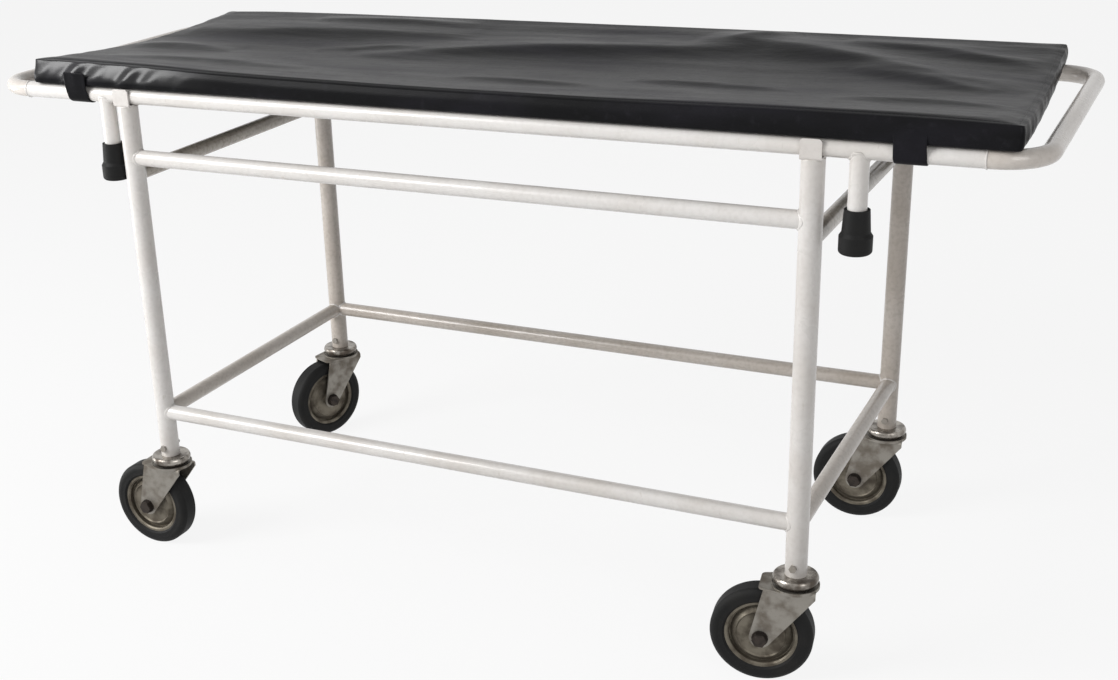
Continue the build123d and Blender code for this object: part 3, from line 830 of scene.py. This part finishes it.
# %% Grow a band along a course
def grow_band(bm, course, half_width, squares):
    """Extrude a row of edges, which lies along X, from each point of the course to the next."""
    y, z = course[0]
    row = [bmesh.ops.create_vert(bm, co=(-half_width, y, z))["vert"][0]]
    for step in range(squares):
        grown = bmesh.ops.extrude_vert_indiv(bm, verts=[row[-1]])
        row += grown["verts"]
        bmesh.ops.translate(bm, verts=grown["verts"], vec=(2 * half_width / squares, 0, 0))
    edges = list({edge for vert in row for edge in vert.link_edges})
    for before, after in zip(course[:-1], course[1:]):
        grown = bmesh.ops.extrude_edge_only(bm, edges=edges)["geom"]
        edges = [item for item in grown if isinstance(item, bmesh.types.BMEdge)]
        verts = [item for item in grown if isinstance(item, bmesh.types.BMVert)]
        step = (0, after[0] - before[0], after[1] - before[1])
        bmesh.ops.translate(bm, verts=verts, vec=step)


def arc(centre, radius, start, end, steps):
    """Points on an arc, from one angle to the other, in degrees."""
    turns = [math.radians(start + (end - start) * step / steps) for step in range(steps + 1)]
    return [
        (centre[0] + radius * math.cos(turn), centre[1] + radius * math.sin(turn)) for turn in turns
    ]


# %% Loops round the side tubes
LOOP_CLOTH = 1.7 * MM
LOOP_TOP = 0.829
LOOP_FACE_GAP = 2.9 * MM
LOOP_STEP = 0.0035
LOOP_ENDS = (0.006, 0.0115)
LOOP_BOW = 0.5 * MM
loop_half_width = half_size("pad_loop_front_left").x
loop_round = tube_radius + LOOP_CLOTH * 0.6 + 0.4 * MM


def make_loop(corner):
    side = -1 if corner.startswith("front") else 1
    place_x = middle(f"pad_loop_{corner}").x
    face = pad_half_width + LOOP_FACE_GAP
    tube_y = tube_offset * side
    outer_turn, inner_turn = (180, 360) if side < 0 else (0, -180)
    course = [(side * face, LOOP_TOP - LOOP_STEP * step) for step in range(8)]
    course += arc((tube_y, tube_height), loop_round, outer_turn, inner_turn, 14)
    course += [(tube_y - side * loop_round, tube_height + above) for above in LOOP_ENDS]
    bm = bmesh.new()
    grow_band(bm, course, loop_half_width, 10)
    for vert in bm.verts:
        height = (vert.co.z - tube_height) / (LOOP_TOP - tube_height)
        vert.co.x *= 1 - 0.05 * max(0, -height * 2) - 0.02 * math.sin(height * 5)
        bow = math.cos(vert.co.x / loop_half_width * 4.4) * LOOP_BOW * (height > 0.1)
        vert.co.y += side * bow
        vert.co.x += place_x
    mesh = bpy.data.meshes.new(f"loop_{corner}")
    bm.to_mesh(mesh)
    bm.free()
    loop = add_piece(f"loop_{corner}", mesh, leathercloth, "stretcher")
    wall = loop.modifiers.new("wall", "SOLIDIFY")
    wall.thickness, wall.offset = LOOP_CLOTH, 0
    smoother = loop.modifiers.new("smoother", "SUBSURF")
    smoother.levels = smoother.render_levels = 1
    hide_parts(f"pad_loop_{corner}")


for corner in CORNERS:
    make_loop(corner)
print("4 loops,", round(loop_half_width * 2000, 1), "mm wide")

# %% [markdown]
# ## Weld beads
# Every rail and foot tube is welded to its neighbour with a small rippled bead, which is what
# makes a tube frame look made rather than drawn. A bead is a ring that lies on a curved surface: a
# circle is spun into a torus, the torus is bent down onto the round tube that carries it, and
# its thickness ripples as the welder's hand moved. The enamel covers it.

# %% Weld bead
BEAD_STEPS = 40
BEAD = 1.9 * MM
SADDLE_BEAD = 1.4 * MM
JOINT_BEAD = 1.2 * MM


def weld_bead(bm, centre, way, across, ring_radius, onto_radius, thickness):
    """A bead round a joint at centre. The joining tube runs along way, and the bead is bent
    along it over a tube of onto_radius whose axis is square to way and to across."""
    way, across = Vector(way), Vector(across)
    start = bmesh.ops.create_circle(bm, segments=7, radius=thickness)["verts"]
    bmesh.ops.rotate(bm, verts=start, matrix=Matrix.Rotation(math.pi / 2, 3, "X"))
    bmesh.ops.translate(bm, verts=start, vec=(ring_radius, 0, 0))
    edges = list({edge for vert in start for edge in vert.link_edges})
    before = set(bm.verts) - set(start)
    bmesh.ops.spin(bm, geom=start + edges, axis=(0, 0, 1), cent=(0, 0, 0), angle=2 * math.pi,
                   steps=BEAD_STEPS, use_merge=True)
    ring = [vert for vert in bm.verts if vert not in before]
    for vert in ring:
        turn = math.atan2(vert.co.y, vert.co.x)
        on_ring = Vector((math.cos(turn), math.sin(turn), 0)) * ring_radius
        ripple = 1 + 0.16 * math.sin(turn * 19) + 0.1 * math.sin(turn * 5 + centre[0] * 9)
        vert.co = on_ring + (vert.co - on_ring) * ripple
        if onto_radius:
            reach = min(abs(vert.co.x), onto_radius * 0.98)
            vert.co.z += math.sqrt(onto_radius ** 2 - reach ** 2) - onto_radius
    turned = Matrix((across, way.cross(across), way)).transposed().to_4x4()
    bmesh.ops.transform(bm, matrix=Matrix.Translation(centre) @ turned, verts=ring)


def finish_beads(bm, name, material, body):
    bmesh.ops.recalc_face_normals(bm, faces=bm.faces)
    mesh = bpy.data.meshes.new(name)
    bm.to_mesh(mesh)
    bm.free()
    beads = add_piece(name, mesh, material, body)
    print(name, len(mesh.polygons), "faces")


# %% Beads of the trolley frame
def frame_beads():
    bm = bmesh.new()
    for corner in CORNERS:
        leg = leg_axis[corner]
        in_x = -1 if corner.endswith("right") else 1
        in_y = 1 if corner.startswith("front") else -1
        side, end = corner.split("_")
        for level in ("upper", "lower"):
            along_z = middle(f"{level}_rail_{side}").z
            across_z = middle(f"{level}_rail_{end}").z
            place = Vector((leg.x + in_x * leg_radius, leg.y, along_z))
            weld_bead(bm, place, (in_x, 0, 0), (0, 1, 0), rail_radius, leg_radius, BEAD)
            place = Vector((leg.x, leg.y + in_y * leg_radius, across_z))
            weld_bead(bm, place, (0, in_y, 0), (1, 0, 0), rail_radius, leg_radius, BEAD)
        place = Vector((leg.x, leg.y, leg_top))
        weld_bead(bm, place, (0, 0, 1), (1, 0, 0), leg_radius - 1.2 * MM, 0, SADDLE_BEAD)
    finish_beads(bm, "frame_weld_beads", frame_enamel, "trolley")


frame_beads()


# %% Beads of the stretcher
def stretcher_beads():
    bm = bmesh.new()
    foot_radius = half_size("foot_tube_front_left").x
    for foot in foot_axis.values():
        place = Vector((foot.x, foot.y, tube_height - tube_radius))
        weld_bead(bm, place, (0, 0, -1), (0, 1, 0), foot_radius, tube_radius, BEAD)
    for end in (-1, 1):
        joint_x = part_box("side_tube_front")[0 if end < 0 else 1].x
        for y in (-tube_offset, tube_offset):
            place = Vector((joint_x, y, tube_height))
            weld_bead(bm, place, (end, 0, 0), (0, 1, 0), tube_radius, 0, JOINT_BEAD)
    finish_beads(bm, "stretcher_weld_beads", stretcher_enamel, "stretcher")


stretcher_beads()


# %% [markdown]
# ## Floor, world and lamps
# The photograph is a cut-out on white. The floor is plain and pale: to the camera, and in the
# shine of metal, most of it glows white, and the matt rest still holds the trolley's soft shadow.
# A large lamp at the left front does most of the work, a weaker one fills the right, and a low
# one on the left reaches under the pad.


# %% Floor
FLOOR_GLOW = 0.88


def make_floor():
    finish = new_finish("pale_floor")
    matt = finish.node("BsdfDiffuse", {}, {"Color": (0.8, 0.8, 0.8, 1)})
    pale = finish.node("Emission", {}, {"Color": (1, 1, 1, 1), "Strength": 1.0})
    both = finish.node("MixShader", {}, {0: finish.seen() * FLOOR_GLOW, 1: matt, 2: pale})
    bm = bmesh.new()
    bmesh.ops.create_grid(bm, x_segments=1, y_segments=1, size=30)
    mesh = bpy.data.meshes.new("floor")
    bm.to_mesh(mesh)
    bm.free()
    mesh.materials.append(finish.end("OutputMaterial", both))
    floor = bpy.data.objects.new("floor", mesh)
    bpy.context.scene.collection.objects.link(floor)
    print("floor", floor.dimensions.x, "m across")


make_floor()


# %% World and lamps
AMBIENT_LEVEL = 0.24


def make_world(level):
    """White where it is seen, and that share of white where it lights the trolley."""
    sky = Finish(bpy.data.worlds.new("studio"))
    strength = level + sky.seen() * (1 - level)
    background = sky.node("Background", {}, {"Color": (1, 1, 1, 1), "Strength": strength})
    bpy.context.scene.world = sky.end("OutputWorld", background)


def add_lamp(name, place, aim, width, height, power):
    """A soft rectangular lamp at a place, turned to face a point."""
    lamp = bpy.data.lights.new(name, "AREA")
    lamp.shape = "RECTANGLE"
    lamp.size, lamp.size_y, lamp.energy = width, height, power
    lamp_object = bpy.data.objects.new(name, lamp)
    lamp_object.location = place
    lamp_object.rotation_euler = (Vector(aim) - Vector(place)).to_track_quat("-Z", "Y").to_euler()
    bpy.context.scene.collection.objects.link(lamp_object)


make_world(AMBIENT_LEVEL)
add_lamp("key_lamp", (-2.4, -2.6, 2.3), (-0.1, -0.1, 0.5), 1.8, 1.5, 120)
add_lamp("fill_lamp", (2.8, -2.2, 1.9), (0.2, 0, 0.5), 1.6, 1.6, 26)
add_lamp("low_lamp", (-3.2, -0.9, 0.45), (0.1, 0, 0.4), 1.2, 0.8, 22)
print("3 lamps and a white world")
